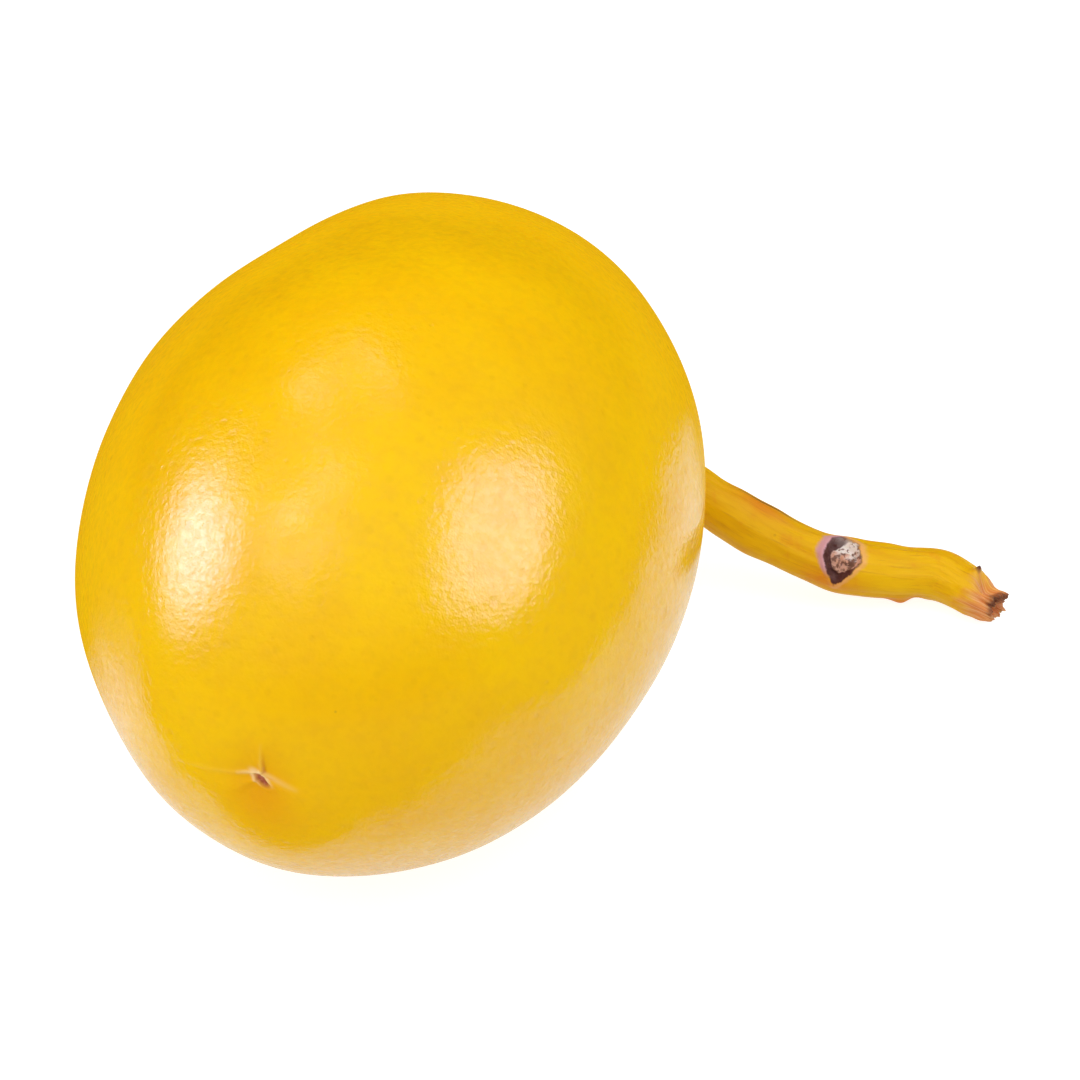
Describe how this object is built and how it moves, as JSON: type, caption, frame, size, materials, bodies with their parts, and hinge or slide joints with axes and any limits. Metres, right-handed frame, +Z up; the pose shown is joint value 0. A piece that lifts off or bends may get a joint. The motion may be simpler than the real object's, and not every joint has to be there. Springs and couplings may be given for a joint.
{
  "type": "barhi date",
  "caption": "Smooth yellow oval date fruit lying on its side, with its dry calyx and a short piece of the strand it grew on.",
  "frame": {"origin": "centre of the small flat spot that the fruit rests on", "axes": "+Z up; the fruit lies along Y, with its tip towards -Y and its stem end towards +Y; the strand lies on the +X side"},
  "size_m": [0.0377, 0.0419, 0.0268],
  "materials": {
    "fruit_skin": "smooth waxy skin, lemon yellow to amber, with fine pores and a soft gloss",
    "dry_petal": "dry papery tan to olive, with brown edges",
    "dry_sepal": "dry matt olive brown",
    "strand_bark": "satin amber yellow, orange brown where it is torn, with a dark scar"
  },
  "bodies": {
    "root": {"fruit": "fruit_skin", "petals": "dry_petal", "sepals": "dry_sepal", "strand": "strand_bark"}
  },
  "joints": []
}
